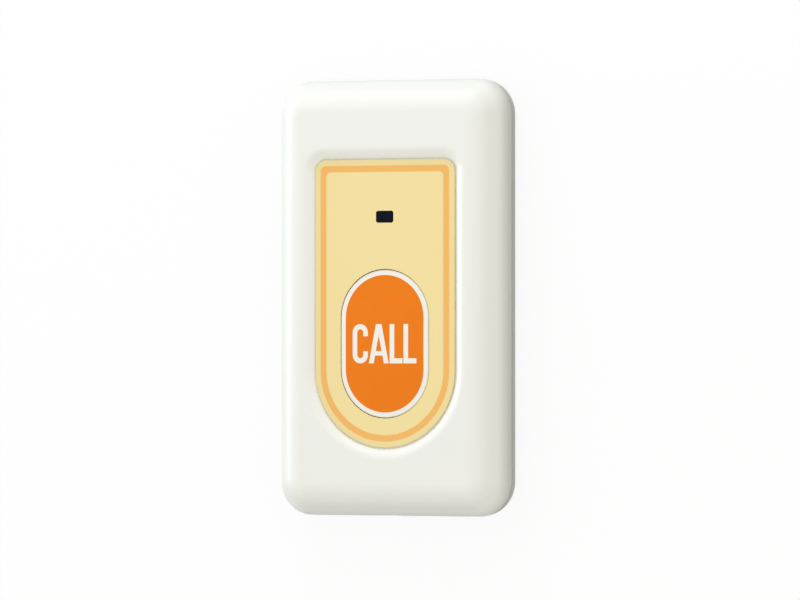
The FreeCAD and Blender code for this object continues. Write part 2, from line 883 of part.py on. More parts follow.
def chip_part_row(count, x, height):
    """Row of small two-ended parts on the front of the board, below the lamp."""
    parts = []
    for index in range(count):
        y = lamp_y + (index - (count - 1) / 2) * chip_part_pitch
        parts.append(centred_block(
            x, y, chip_part_length, chip_part_width, board_front, board_front + height))
    return Part.makeCompound(parts)


def make_chip_capacitors():
    return chip_part_row(4, led_width + part_spacing + chip_part_length / 2, capacitor_height)


def make_chip_resistors():
    return chip_part_row(4, -(led_width + part_spacing + chip_part_length / 2), resistor_height)


def make_antenna_coil():
    """Helical aerial lying along X at the lamp end, with a leg to the board at each end."""
    length = coil_turns * coil_pitch
    helix = Part.makeHelix(coil_pitch, length, coil_radius)
    along_wire = Vector(0, 2 * math.pi * coil_radius, coil_pitch)
    section = Part.Wire(Part.makeCircle(coil_wire_radius, Vector(coil_radius, 0, 0), along_wire))
    coil = Part.Wire(helix).makePipeShell([section], True, True)
    leg_length = coil_board_gap + coil_wire_radius
    for end in (0, length):
        leg = Part.makeCylinder(coil_wire_radius, leg_length, Vector(coil_radius, 0, end), Vector(1, 0, 0))
        bend = Part.makeSphere(coil_wire_radius, Vector(coil_radius, 0, end))
        coil = coil.fuse(leg).fuse(bend)
    coil.rotate(Vector(0, 0, 0), Vector(0, 1, 0), -90)
    coil.translate(Vector(length / 2, coil_y, board_rear - leg_length - coil_radius))
    return one_solid(coil)


parts = {
    "front_housing": make_front_housing,
    "rear_cover": make_rear_cover,
    "case_seal": make_case_seal,
    "case_screw": make_case_screw,
    "face_film": make_face_film,
    "film_adhesive": make_film_adhesive,
    "lamp_window": make_lamp_window,
    "key_cap": make_key_cap,
    "key_inlay": make_key_inlay,
    "key_boot": make_key_boot,
    "switch_base": make_switch_base,
    "switch_cover": make_switch_cover,
    "switch_plunger": make_switch_plunger,
    "switch_dome": make_switch_dome,
    "switch_terminals": make_switch_terminals,
    "circuit_board": make_circuit_board,
    "board_screws": make_board_screws,
    "coin_cell": make_coin_cell,
    "cell_clip": make_cell_clip,
    "cell_pad": make_cell_pad,
    "status_led": make_status_led,
    "encoder_chip": make_encoder_chip,
    "chip_leads": make_chip_leads,
    "rf_transistor": make_rf_transistor,
    "rf_resonator": make_rf_resonator,
    "rf_choke": make_rf_choke,
    "chip_capacitors": make_chip_capacitors,
    "chip_resistors": make_chip_resistors,
    "antenna_coil": make_antenna_coil,
}

os.makedirs("parts", exist_ok=True)
for name, make in parts.items():
    shape = make()
    assert shape.isValid(), name + " is not a valid shape"
    shape.exportStep(os.path.join("parts", name + ".step"))
    print(name, len(shape.Solids), round(shape.Volume, 2))
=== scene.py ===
import math

import bmesh
import bpy
from mathutils import Matrix, Vector


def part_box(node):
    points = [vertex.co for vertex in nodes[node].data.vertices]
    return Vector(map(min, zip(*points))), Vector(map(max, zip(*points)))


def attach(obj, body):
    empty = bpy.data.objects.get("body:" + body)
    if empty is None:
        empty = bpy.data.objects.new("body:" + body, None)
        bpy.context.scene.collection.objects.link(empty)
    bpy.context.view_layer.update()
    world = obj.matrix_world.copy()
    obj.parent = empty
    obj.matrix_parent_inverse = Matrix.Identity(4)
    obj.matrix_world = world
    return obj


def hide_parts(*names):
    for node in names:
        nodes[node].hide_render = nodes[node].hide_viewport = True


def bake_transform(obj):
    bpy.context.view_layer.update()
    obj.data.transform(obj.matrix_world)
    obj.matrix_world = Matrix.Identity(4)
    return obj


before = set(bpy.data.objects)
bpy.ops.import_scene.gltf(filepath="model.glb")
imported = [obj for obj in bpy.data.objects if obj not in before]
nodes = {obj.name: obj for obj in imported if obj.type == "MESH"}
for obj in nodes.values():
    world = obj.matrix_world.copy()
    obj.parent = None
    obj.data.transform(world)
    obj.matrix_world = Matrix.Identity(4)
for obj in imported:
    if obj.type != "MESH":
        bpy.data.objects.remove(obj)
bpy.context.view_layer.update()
mm = 0.001
print("frame loaded with", len(nodes), "pieces")

viewpoint = dict(
    turn=25.04,                 # degrees to the right of straight above the face
    rise=-0.40,                 # degrees towards the lamp end
    roll=-0.01,
    distance=1300 * mm,
    aim=(0.81 * mm, -0.42 * mm, 5.75 * mm),
    lens=301.6,
    nearest=10 * mm,            # only what lies between these two distances is drawn
    farthest=20.0)


def placeCamera():
    turn, rise, roll = (math.radians(viewpoint[angle]) for angle in ("turn", "rise", "roll"))
    back = Vector((math.sin(turn) * math.cos(rise), math.sin(rise), math.cos(turn) * math.cos(rise)))
    right = Vector((0, 1, 0)).cross(back).normalized()
    up = back.cross(right)
    axes = Matrix((right, up, back)).transposed() @ Matrix.Rotation(roll, 3, "Z")
    place = Vector(viewpoint["aim"]) + back * viewpoint["distance"]
    optics = bpy.data.cameras.new("camera")
    optics.lens = viewpoint["lens"]
    optics.clip_start = viewpoint["nearest"]
    optics.clip_end = viewpoint["farthest"]
    camera = bpy.data.objects.new("camera", optics)
    camera.matrix_world = Matrix.Translation(place) @ axes.to_4x4()
    bpy.context.scene.collection.objects.link(camera)
    bpy.context.scene.camera = camera


# shader nodes: each function adds what it needs to the tree and returns the socket that comes out

nodeRow = dict(start=-2400, spacing=200, height=400)    # where nodes lie in the shader editor
fullWhite = (1, 1, 1, 1)


def addNode(tree, kind, inputs=None, output=0, **settings):
    # inputs holds numbers, colours or the sockets to link
    made = tree.nodes.new("ShaderNode" + kind)
    made.location = (nodeRow["start"] + nodeRow["spacing"] * len(tree.nodes), nodeRow["height"])
    for setting, value in settings.items():
        setattr(made, setting, value)
    for socket, value in (inputs or {}).items():
        if isinstance(value, bpy.types.NodeSocket):
            tree.links.new(value, made.inputs[socket])
        else:
            made.inputs[socket].default_value = value
    return made.outputs[output]


def calculate(tree, operation, first, second=0.0):
    return addNode(tree, "Math", {0: first, 1: second}, operation=operation)


def blendColour(tree, share, first, second):
    return addNode(tree, "Mix", {0: share, 6: first, 7: second}, 2, data_type="RGBA")


def blendShader(tree, share, first, second):
    return addNode(tree, "MixShader", {0: share, 1: first, 2: second})


def seenDirectly(tree):
    # 1 for the camera and for what gloss and clear pieces show, 0 for light that falls on the object
    found = 0.0
    for ray in ("Is Camera Ray", "Is Glossy Ray", "Is Transmission Ray"):
        found = calculate(tree, "MAXIMUM", found, addNode(tree, "LightPath", output=ray))
    return found


# flat outlines, as lists of (x, y) points that run anticlockwise


def arcPoints(centre, radius, start, end, steps):
    points = []
    for step in range(steps + 1):
        angle = math.radians(start + (end - start) * step / steps)
        points.append((centre[0] + radius * math.cos(angle), centre[1] + radius * math.sin(angle)))
    return points


def roundedBox(left, right, base, top, radius, steps):
    inner = ((right - radius, base + radius), (right - radius, top - radius),
             (left + radius, top - radius), (left + radius, base + radius))
    points = []
    for centre, start in zip(inner, (-90, 0, 90, 180)):
        points += arcPoints(centre, radius, start, start + 90, steps)
    return points


def addLoop(mesh, points, height):
    return [mesh.verts.new((x, y, height)) for x, y in points]


def fillBetween(mesh, loops):
    # flat triangles inside the first loop and outside the others
    edges = []
    for loop in loops:
        for pair in zip(loop, loop[1:] + loop[:1]):
            edges.append(mesh.edges.get(pair) or mesh.edges.new(pair))
    bmesh.ops.triangle_fill(mesh, use_beauty=True, edges=edges)


# the floor is open under the object, inset from its edge, so that light reaches its back
floorLook = dict(
    size=6.0,
    gap=0.05 * mm,                          # below the object
    footInset=0.9 * mm, footCorner=5.9 * mm, footSteps=12,
    colour=(0.95, 0.95, 0.95, 1), paleColour=(0.98, 0.98, 0.98, 1),
    cloudScale=3.0, cloudDetail=2.0,
    bounceColour=(0.10, 0.095, 0.07, 1),    # darker for light that goes back up to the object
    shadowShare=0.12)                       # how much of the shadow the camera sees


def floorMesh():
    half = floorLook["size"] / 2
    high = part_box("rear_cover")[1]
    x = high.x - floorLook["footInset"]
    y = high.y - floorLook["footInset"]
    outside = [(half, half), (-half, half), (-half, -half), (half, -half)]
    foot = roundedBox(-x, x, -y, y, floorLook["footCorner"], floorLook["footSteps"])
    sheet = bmesh.new()
    fillBetween(sheet, [addLoop(sheet, outside, 0), addLoop(sheet, foot, 0)])
    for face in sheet.faces:
        if face.normal.z < 0:
            face.normal_flip()
    mesh = bpy.data.meshes.new("floor")
    sheet.to_mesh(mesh)
    sheet.free()
    return mesh


def paleFloor():
    # seen from above it is white with a faint shadow, from below it is clear
    material = bpy.data.materials.new("paleFloor")
    material.use_nodes = True
    tree = material.node_tree
    tree.nodes.clear()
    cloud = addNode(tree, "TexNoise", {
        "Scale": floorLook["cloudScale"], "Detail": floorLook["cloudDetail"]})
    pale = blendColour(tree, cloud, floorLook["colour"], floorLook["paleColour"])
    seen = seenDirectly(tree)
    matt = addNode(tree, "BsdfDiffuse", {"Color": blendColour(tree, seen, floorLook["bounceColour"], pale)})
    bright = addNode(tree, "Emission", {"Color": fullWhite, "Strength": 1.0})
    above = blendShader(tree, calculate(tree, "MULTIPLY", seen, 1 - floorLook["shadowShare"]), matt, bright)
    under = addNode(tree, "NewGeometry", output="Backfacing")
    shown = blendShader(tree, under, above, addNode(tree, "BsdfTransparent"))
    tree.links.new(shown, tree.nodes.new("ShaderNodeOutputMaterial").inputs["Surface"])
    return material


def layFloor():
    mesh = floorMesh()
    mesh.materials.append(paleFloor())
    floor = bpy.data.objects.new("floor", mesh)
    floor.location.z = -floorLook["gap"]
    bpy.context.scene.collection.objects.link(floor)


worldLook = dict(
    lightColour=(1.0, 0.997, 0.972, 1),
    lightStrength=0.855)


def lightWorld():
    world = bpy.data.worlds.new("studio")
    world.use_nodes = True
    bpy.context.scene.world = world
    tree = world.node_tree
    soft = addNode(tree, "Background", {
        "Color": worldLook["lightColour"], "Strength": worldLook["lightStrength"]})
    bright = addNode(tree, "Background", {"Color": fullWhite, "Strength": 1.0})
    shown = blendShader(tree, seenDirectly(tree), soft, bright)
    tree.links.new(shown, tree.nodes["World Output"].inputs["Surface"])


# place and size in metres, power in watts; all soft boxes point at the object
lampLooks = dict(
    leftBox=dict(place=(-0.85, 0.05, 0.08), size=0.14, power=1.93, colour=(0.80, 0.893, 1.0)),
    headBox=dict(place=(-0.06, 0.39, 0.125), size=0.2, power=0.61, colour=(0.87, 0.92, 1.0)),
    rightBox=dict(place=(0.65, 0.0, 0.25), size=0.45, power=0.32, colour=(1.0, 0.89, 0.60)))


def hangLamps():
    for name, look in lampLooks.items():
        lamp = bpy.data.lights.new(name, "AREA")
        lamp.shape = "DISK"
        lamp.size = look["size"]
        lamp.energy = look["power"]
        lamp.color = look["colour"]
        hung = bpy.data.objects.new(name, lamp)
        hung.location = look["place"]
        hung.rotation_euler = (-Vector(look["place"])).to_track_quat("-Z", "Y").to_euler()
        bpy.context.scene.collection.objects.link(hung)


bpy.context.scene.view_settings.view_transform = "Standard"
placeCamera()
layFloor()
lightWorld()
hangLamps()
print("camera, floor and lamps are in place")

# patterns that the finishes share

usualNoise = (0.3, 0.7)         # where most values of a noise pattern lie


def grain(tree, place, size, detail=2.0, rough=0.5):
    # soft random pattern whose blobs are about size across
    return addNode(tree, "TexNoise", {
        "Vector": place, "Scale": 1 / size, "Detail": detail, "Roughness": rough})


def stretched(tree, place, scale):
    # coordinates scaled axis by axis: a small number draws a pattern out along that axis
    return addNode(tree, "Mapping", {"Vector": place, "Scale": scale})


def between(tree, value, low, high, source=usualNoise):
    return addNode(tree, "MapRange", {
        "Value": value, "From Min": source[0], "From Max": source[1], "To Min": low, "To Max": high})


def addShare(tree, first, firstShare, second, secondShare):
    return calculate(tree, "ADD", calculate(tree, "MULTIPLY", first, firstShare),
                     calculate(tree, "MULTIPLY", second, secondShare))


def aboveStep(tree, value, limit):
    return calculate(tree, "GREATER_THAN", value, limit)


def belowStep(tree, value, limit):
    return calculate(tree, "LESS_THAN", value, limit)


def bothOf(tree, first, second):
    return calculate(tree, "MULTIPLY", first, second)


def axisOf(tree, place, axis):
    return addNode(tree, "SeparateXYZ", {0: place}, axis)


def radiusFrom(tree, place, centre):
    # distance from a vertical axis through centre
    offset = addNode(tree, "VectorMath", {0: place, 1: (centre[0], centre[1], 0)}, operation="SUBTRACT")
    flat = addNode(tree, "VectorMath", {0: offset, 1: (1, 1, 0)}, operation="MULTIPLY")
    return addNode(tree, "VectorMath", {0: flat}, "Value", operation="LENGTH")


def twoTone(tree, share, look):
    return blendColour(tree, share, look["colour"], look["paleColour"])


def startFinish(name, shaderValues):
    # new material with these plain shader values; its node tree and the object coordinates come back too
    material = bpy.data.materials.new(name)
    material.use_nodes = True
    tree = material.node_tree
    for socket, value in shaderValues.items():
        tree.nodes["Principled BSDF"].inputs[socket].default_value = value
    return material, tree, addNode(tree, "TexCoord", output="Object")


def dress(tree, look, colour, relief, gloss=None, metallic=None):
    # the relief pattern also sets how glossy the surface is, unless gloss is a pattern of its own
    gloss = relief if gloss is None else gloss
    linked = {
        "Base Color": colour,
        "Roughness": between(tree, gloss, look["glossy"], look["matt"]),
        "Normal": addNode(tree, "Bump", {"Height": relief, "Distance": look["depth"], "Strength": 1.0})}
    if metallic is not None:
        linked["Metallic"] = metallic
    for socket, value in linked.items():
        tree.links.new(value, tree.nodes["Principled BSDF"].inputs[socket])


# moulded plastic with a spark-eroded surface: housing, cover and key
plasticLooks = dict(
    caseWhite=dict(
        colour=(0.862, 0.866, 0.815, 1), paleColour=(0.885, 0.888, 0.842, 1),
        grain=0.14 * mm, depth=0.006 * mm, cloud=9 * mm, glossy=0.40, matt=0.50,
        shader={"IOR": 1.5, "Specular IOR Level": 0.45}),
    coverGrey=dict(
        colour=(0.66, 0.675, 0.665, 1), paleColour=(0.70, 0.712, 0.70, 1),
        grain=0.24 * mm, depth=0.02 * mm, cloud=7 * mm, glossy=0.52, matt=0.64,
        shader={"IOR": 1.5, "Specular IOR Level": 0.4}),
    keyWhite=dict(
        colour=(0.90, 0.872, 0.80, 1), paleColour=(0.915, 0.89, 0.825, 1),
        grain=0.10 * mm, depth=0.003 * mm, cloud=5 * mm, glossy=0.30, matt=0.38,
        shader={"IOR": 1.5, "Specular IOR Level": 0.5}),
    keyOrange=dict(
        colour=(0.865, 0.195, 0.003, 1), paleColour=(0.885, 0.217, 0.006, 1),
        grain=0.10 * mm, depth=0.003 * mm, cloud=4 * mm, glossy=0.32, matt=0.42,
        shader={"IOR": 1.5, "Specular IOR Level": 0.16}))
scuffLook = dict(size=0.9 * mm, run=(1, 0.25, 1), pitShare=0.6, scuffShare=0.4)


def sparkedPlastic(name):
    look = plasticLooks[name]
    material, tree, place = startFinish(name, look["shader"])
    cloud = grain(tree, place, look["cloud"], detail=3)
    pits = grain(tree, place, look["grain"], detail=3, rough=0.6)
    scuffs = grain(tree, stretched(tree, place, scuffLook["run"]), scuffLook["size"], detail=4)
    worn = addShare(tree, pits, scuffLook["pitShare"], scuffs, scuffLook["scuffShare"])
    dress(tree, look, twoTone(tree, cloud, look), pits, gloss=worn)
    return material


# printed film: one ink for each region, under a finely textured surface
printLooks = dict(
    fieldYellow=dict(colour=(0.900, 0.735, 0.335, 1), paleColour=(0.915, 0.76, 0.37, 1)),
    stripeOrange=dict(colour=(0.91, 0.475, 0.112, 1), paleColour=(0.92, 0.50, 0.132, 1)),
    bandYellow=dict(colour=(0.876, 0.706, 0.325, 1), paleColour=(0.893, 0.73, 0.36, 1)))
filmSurface = dict(
    ink=0.35 * mm, inkShare=0.5, wash=6 * mm, washShare=0.5,
    texture=0.07 * mm, depth=0.0015 * mm, glossy=0.34, matt=0.44,
    shader={"IOR": 1.5, "Specular IOR Level": 0.4})


def printedFilm(name):
    surface = filmSurface
    material, tree, place = startFinish(name, surface["shader"])
    ink = grain(tree, place, surface["ink"], detail=4, rough=0.65)
    wash = grain(tree, place, surface["wash"])
    texture = grain(tree, place, surface["texture"])
    thin = addShare(tree, ink, surface["inkShare"], wash, surface["washShare"])
    dress(tree, surface, twoTone(tree, thin, printLooks[name]), texture)
    return material


# polished dark lens over the lamp
windowLook = dict(
    colour=(0.003, 0.005, 0.010, 1), paleColour=(0.008, 0.010, 0.018, 1),
    haze=0.5 * mm, depth=0.004 * mm, scratch=0.06 * mm, run=(1, 0.1, 1), glossy=0.08, matt=0.16,
    shader={"IOR": 1.49, "Specular IOR Level": 0.04})


def smokedLens():
    look = windowLook
    material, tree, place = startFinish("lampSmoke", look["shader"])
    haze = grain(tree, place, look["haze"])
    scratches = grain(tree, stretched(tree, place, look["run"]), look["scratch"])
    dress(tree, look, twoTone(tree, haze, look), haze, gloss=scratches)
    return material


# soft and clear parts
softLooks = dict(
    sealRubber=dict(
        colour=(0.27, 0.28, 0.28, 1), paleColour=(0.33, 0.34, 0.34, 1),
        grain=0.2 * mm, depth=0.01 * mm, glossy=0.7, matt=0.85,
        shader={"IOR": 1.45, "Specular IOR Level": 0.3}),
    bootSilicone=dict(
        colour=(0.50, 0.515, 0.53, 1), paleColour=(0.60, 0.61, 0.62, 1),
        grain=0.5 * mm, depth=0.004 * mm, glossy=0.42, matt=0.55,
        shader={"IOR": 1.41, "Subsurface Weight": 0.35, "Subsurface Scale": 0.8 * mm,
                "Subsurface Radius": (1.0, 0.9, 0.8)}),
    adhesiveClear=dict(
        colour=(0.76, 0.76, 0.72, 1), paleColour=(0.84, 0.84, 0.81, 1),
        grain=0.3 * mm, depth=0.006 * mm, glossy=0.15, matt=0.35,
        shader={"IOR": 1.47, "Transmission Weight": 0.4}))
softBloom = 2.2 * mm


def softFinish(name):
    look = softLooks[name]
    material, tree, place = startFinish(name, look["shader"])
    bloom = grain(tree, place, softBloom, detail=3)
    skin = grain(tree, place, look["grain"], detail=3, rough=0.6)
    dress(tree, look, twoTone(tree, bloom, look), skin)
    return material


# rolled, plated and drawn metals; run scales the marks along X, Y and Z
metalLooks = dict(
    screwSteel=dict(
        colour=(0.55, 0.56, 0.57, 1), paleColour=(0.68, 0.67, 0.64, 1),
        run=(1, 1, 4), mark=0.25 * mm, depth=0.004 * mm, glossy=0.26, matt=0.42),
    springSteel=dict(
        colour=(0.58, 0.58, 0.57, 1), paleColour=(0.70, 0.69, 0.67, 1),
        run=(0.04, 1, 1), mark=0.05 * mm, depth=0.0015 * mm, glossy=0.22, matt=0.36),
    contactGold=dict(
        colour=(0.72, 0.51, 0.18, 1), paleColour=(0.80, 0.60, 0.27, 1),
        run=(1, 1, 1), mark=0.3 * mm, depth=0.002 * mm, glossy=0.2, matt=0.34),
    tin=dict(
        colour=(0.64, 0.64, 0.63, 1), paleColour=(0.78, 0.78, 0.76, 1),
        run=(1, 1, 1), mark=0.4 * mm, depth=0.02 * mm, glossy=0.2, matt=0.38),
    coilCopper=dict(
        colour=(0.66, 0.26, 0.10, 1), paleColour=(0.76, 0.37, 0.18, 1),
        run=(1, 1, 1), mark=0.6 * mm, depth=0.004 * mm, glossy=0.16, matt=0.3))
metalShader = {"Metallic": 1.0}
metalTarnish = 2.5 * mm


def metalFinish(name):
    look = metalLooks[name]
    material, tree, place = startFinish(name, metalShader)
    marks = grain(tree, stretched(tree, place, look["run"]), look["mark"], detail=3, rough=0.6)
    tarnish = grain(tree, place, metalTarnish, detail=3)
    dress(tree, look, twoTone(tree, tarnish, look), marks)
    return material


# turned or drawn round cans: the marks are rings round the can's own axis
canLooks = dict(
    cellSteel=dict(
        node="coin_cell", colour=(0.64, 0.64, 0.63, 1), paleColour=(0.75, 0.75, 0.74, 1),
        ring=0.05 * mm, depth=0.001 * mm, glossy=0.22, matt=0.34),
    canNickel=dict(
        node="rf_resonator", colour=(0.62, 0.61, 0.58, 1), paleColour=(0.74, 0.73, 0.70, 1),
        ring=0.12 * mm, depth=0.002 * mm, glossy=0.16, matt=0.28))
canTarnish = 4 * mm


def drawnCan(name):
    look = canLooks[name]
    low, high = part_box(look["node"])
    material, tree, place = startFinish(name, metalShader)
    outward = addNode(tree, "CombineXYZ", {"X": radiusFrom(tree, place, (low + high) / 2)})
    rings = grain(tree, outward, look["ring"], detail=3, rough=0.6)
    tarnish = grain(tree, place, canTarnish, detail=3)
    dress(tree, look, twoTone(tree, tarnish, look), rings)
    return material


# black moulded packages and ferrite
darkLooks = dict(
    switchBlack=dict(
        colour=(0.022, 0.022, 0.024, 1), paleColour=(0.060, 0.060, 0.062, 1),
        fleck=0.18 * mm, depth=0.004 * mm, glossy=0.36, matt=0.5),
    chipBlack=dict(
        colour=(0.020, 0.020, 0.021, 1), paleColour=(0.055, 0.055, 0.055, 1),
        fleck=0.09 * mm, depth=0.006 * mm, glossy=0.5, matt=0.66),
    ferrite=dict(
        colour=(0.055, 0.055, 0.058, 1), paleColour=(0.12, 0.12, 0.12, 1),
        fleck=0.15 * mm, depth=0.012 * mm, glossy=0.6, matt=0.8))
darkShader = {"IOR": 1.5, "Specular IOR Level": 0.4}
fleckNoise = (0.5, 0.75)        # only the peaks of the pattern are pale
windingLook = dict(
    colour=(0.30, 0.10, 0.035, 1), paleColour=(0.62, 0.27, 0.11, 1),
    turn=0.11 * mm, flangeShare=0.25)   # of the choke's height, at each end


def copperBetweenFlanges(tree, place, colour):
    # the drum choke carries its enamelled winding between the two flanges
    low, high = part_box("rf_choke")
    flange = (high.z - low.z) * windingLook["flangeShare"]
    height = axisOf(tree, place, "Z")
    wound = bothOf(tree, aboveStep(tree, height, low.z + flange), belowStep(tree, height, high.z - flange))
    turns = grain(tree, addNode(tree, "CombineXYZ", {"Z": height}), windingLook["turn"], detail=1)
    return blendColour(tree, wound, colour, twoTone(tree, turns, windingLook))


def darkMoulding(name):
    look = darkLooks[name]
    material, tree, place = startFinish(name, darkShader)
    flecks = grain(tree, place, look["fleck"], detail=4, rough=0.7)
    colour = twoTone(tree, between(tree, flecks, 0, 1, fleckNoise), look)
    if name == "ferrite":
        colour = copperBetweenFlanges(tree, place, colour)
    dress(tree, look, colour, flecks)
    return material


# small two-ended parts with tinned ends, end long
endedLooks = dict(
    ceramicTan=dict(
        node="chip_capacitors", colour=(0.44, 0.30, 0.155, 1), paleColour=(0.56, 0.41, 0.235, 1),
        end=0.45 * mm, depth=0.003 * mm, glossy=0.35, matt=0.5),
    resistorBlack=dict(
        node="chip_resistors", colour=(0.022, 0.023, 0.028, 1), paleColour=(0.05, 0.05, 0.06, 1),
        end=0.4 * mm, depth=0.003 * mm, glossy=0.18, matt=0.3))
endedShader = {"IOR": 1.55}
tinnedLook = dict(
    colour=(0.62, 0.62, 0.61, 1), paleColour=(0.78, 0.78, 0.76, 1),
    speckle=0.12 * mm, wave=0.25 * mm, waveDepth=0.05 * mm)     # the edge of the tin waves a little


def tinnedEnds(name):
    look = endedLooks[name]
    low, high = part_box(look["node"])
    middle = (low.x + high.x) / 2
    body = (high.x - low.x) / 2 - look["end"]
    material, tree, place = startFinish(name, endedShader)
    fromMiddle = calculate(tree, "ABSOLUTE", calculate(tree, "SUBTRACT", axisOf(tree, place, "X"), middle))
    wave = grain(tree, place, tinnedLook["wave"])
    ends = aboveStep(tree, addShare(tree, fromMiddle, 1.0, wave, tinnedLook["waveDepth"]), body)
    speckle = grain(tree, place, tinnedLook["speckle"], detail=3, rough=0.6)
    colour = blendColour(tree, ends, twoTone(tree, speckle, look), twoTone(tree, speckle, tinnedLook))
    dress(tree, look, colour, speckle, metallic=ends)
    return material


# white package whose bowl is filled with yellow phosphor
ledLook = dict(
    colour=(0.82, 0.82, 0.77, 1), paleColour=(0.88, 0.88, 0.84, 1), phosphor=(0.84, 0.70, 0.22, 1),
    bowlRadius=1.06 * mm, bowlBrim=0.02 * mm, bowlDepth=0.58 * mm,
    speckle=0.15 * mm, depth=0.003 * mm, glossy=0.35, matt=0.5,
    shader={"IOR": 1.5})


def ledPackage():
    look = ledLook
    low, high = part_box("status_led")
    material, tree, place = startFinish("ledWhite", look["shader"])
    speckle = grain(tree, place, look["speckle"], detail=3)
    height = axisOf(tree, place, "Z")
    inside = belowStep(tree, radiusFrom(tree, place, (low + high) / 2), look["bowlRadius"])
    sunk = belowStep(tree, height, high.z - look["bowlBrim"])
    filled = bothOf(tree, bothOf(tree, inside, sunk), aboveStep(tree, height, high.z - look["bowlDepth"]))
    dress(tree, look, blendColour(tree, filled, twoTone(tree, speckle, look), look["phosphor"]), speckle)
    return material


# green mask over copper tracks, plated vias with painted shadow in their bores, and the bare laminate on the
# board's edges
boardLook = dict(
    mask=(0.016, 0.125, 0.052, 1), overCopper=(0.035, 0.235, 0.10, 1),
    trackPitch=1.9 * mm, trackWidth=0.16 * mm, trackEdge=0.1, trackLength=2.6, trackShift=0.37,
    # the bore colour is painted shadow: it stands in for the dark inside of each via hole
    solder=(0.70, 0.70, 0.68, 1), boreShadow=(0.02, 0.02, 0.02, 1),
    viaPitch=5.2 * mm, viaSpread=0.8, viaReach=0.09, boreShadowReach=0.045,   # reaches are shares of the pitch
    laminate=(0.62, 0.56, 0.33, 1), darkLaminate=(0.50, 0.46, 0.25, 1),
    weave=0.4 * mm, run=(1, 1, 12), weaveShare=0.15, steepest=0.5,
    depth=0.02 * mm, glossy=0.22, matt=0.36,
    shader={"IOR": 1.55, "Specular IOR Level": 0.5})


def solderMask():
    look = boardLook
    material, tree, place = startFinish("boardGreen", look["shader"])
    track = addNode(tree, "TexBrick", {
        "Vector": place, "Scale": 1.0, "Mortar Size": look["trackWidth"], "Mortar Smooth": look["trackEdge"],
        "Brick Width": look["trackPitch"] * look["trackLength"],    # the length is a multiple of the pitch
        "Row Height": look["trackPitch"]}, "Fac", offset=look["trackShift"])
    spots = addNode(tree, "TexVoronoi", {
        "Vector": place, "Scale": 1 / look["viaPitch"], "Randomness": look["viaSpread"]})
    normal = addNode(tree, "NewGeometry", output="Normal")
    flat = aboveStep(tree, calculate(tree, "ABSOLUTE", axisOf(tree, normal, "Z")), look["steepest"])
    weave = grain(tree, stretched(tree, place, look["run"]), look["weave"], detail=3)
    green = blendColour(tree, track, look["mask"], look["overCopper"])
    plated = blendColour(tree, belowStep(tree, spots, look["viaReach"]), green, look["solder"])
    # painted shadow: a dark dot in the middle of each plated via, where the hole's inside would be in shade
    withBoreShadows = blendColour(tree, belowStep(tree, spots, look["boreShadowReach"]), plated, look["boreShadow"])
    edge = blendColour(tree, weave, look["laminate"], look["darkLaminate"])
    height = addShare(tree, track, 1.0, weave, look["weaveShare"])
    dress(tree, look, blendColour(tree, flat, edge, withBoreShadows), height, gloss=weave)
    return material


finishes = dict(lampSmoke=smokedLens(), ledWhite=ledPackage(), boardGreen=solderMask())
for makeFinish, looks in (
        (sparkedPlastic, plasticLooks), (printedFilm, printLooks), (softFinish, softLooks),
        (metalFinish, metalLooks), (drawnCan, canLooks), (darkMoulding, darkLooks), (tinnedEnds, endedLooks)):
    finishes.update({name: makeFinish(name) for name in looks})

nodeFinishes = dict(
    front_housing="caseWhite", rear_cover="coverGrey", case_seal="sealRubber", case_screw="screwSteel",
    film_adhesive="adhesiveClear", lamp_window="lampSmoke", key_cap="keyWhite", key_inlay="keyOrange",
    switch_base="switchBlack", switch_plunger="switchBlack", switch_cover="springSteel",
    switch_terminals="tin", circuit_board="boardGreen", board_screws="screwSteel",
    coin_cell="cellSteel", cell_clip="springSteel", cell_pad="contactGold", status_led="ledWhite",
    encoder_chip="chipBlack", chip_leads="tin", rf_transistor="chipBlack", rf_resonator="canNickel",
    rf_choke="ferrite", chip_capacitors="ceramicTan", chip_resistors="resistorBlack",
    antenna_coil="coilCopper")

for name, finish in nodeFinishes.items():
    for slot in nodes[name].material_slots:
        slot.material = finishes[finish]
print("finishes given to", len(nodeFinishes), "pieces")

flatNormal = 0.99               # faces that look this much up or down are shaded flat


def joinLoops(mesh, lower, upper, ink=0):
    for corners in zip(lower, lower[1:] + lower[:1], upper[1:] + upper[:1], upper):
        mesh.faces.new(corners).material_index = ink


def finishPiece(mesh, name, materials, sharpAngle):
    bmesh.ops.recalc_face_normals(mesh, faces=mesh.faces)
    data = bpy.data.meshes.new(name)
    mesh.to_mesh(data)
    mesh.free()
    data.set_sharp_from_angle(angle=math.radians(sharpAngle))
    data.polygons.foreach_set("use_smooth", [abs(face.normal.z) < flatNormal for face in data.polygons])
    for material in materials:
        data.materials.append(finishes[material])
    piece = bpy.data.objects.new(name, data)
    bpy.context.scene.collection.objects.link(piece)
    return piece


labelShape = dict(
    cornerRadius=2.3 * mm,
    smallestRadius=0.9 * mm,
    bandWidth=1.125 * mm,       # printed border outside the stripe
    stripeWidth=1.25 * mm,
    edgeRound=0.05 * mm,        # die-cut edge
    edgeBulge=0.015 * mm,
    keyRim=1.0 * mm,            # key outside the inlay
    keyGap=0.15 * mm,
    windowFlange=0.8 * mm,      # of the window, hidden under the housing
    windowGap=0.05 * mm,
    windowCorner=0.4 * mm,
    cornerSteps=10, bottomSteps=80, keySteps=60, sharpAngle=35)


def labelOutline(grow):
    # square top with small corners and a round bottom, moved outwards by grow
    low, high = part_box("face_film")
    halfWidth = (high.x - low.x) / 2 + grow
    radius = max(labelShape["cornerRadius"] + grow, labelShape["smallestRadius"])
    x = halfWidth - radius
    y = high.y + grow - radius
    bottom = (0, low.y + (high.x - low.x) / 2)
    steps = labelShape["cornerSteps"]
    return (arcPoints(bottom, halfWidth, 180, 360, labelShape["bottomSteps"])
            + arcPoints((x, y), radius, 0, 90, steps) + arcPoints((-x, y), radius, 90, 180, steps))


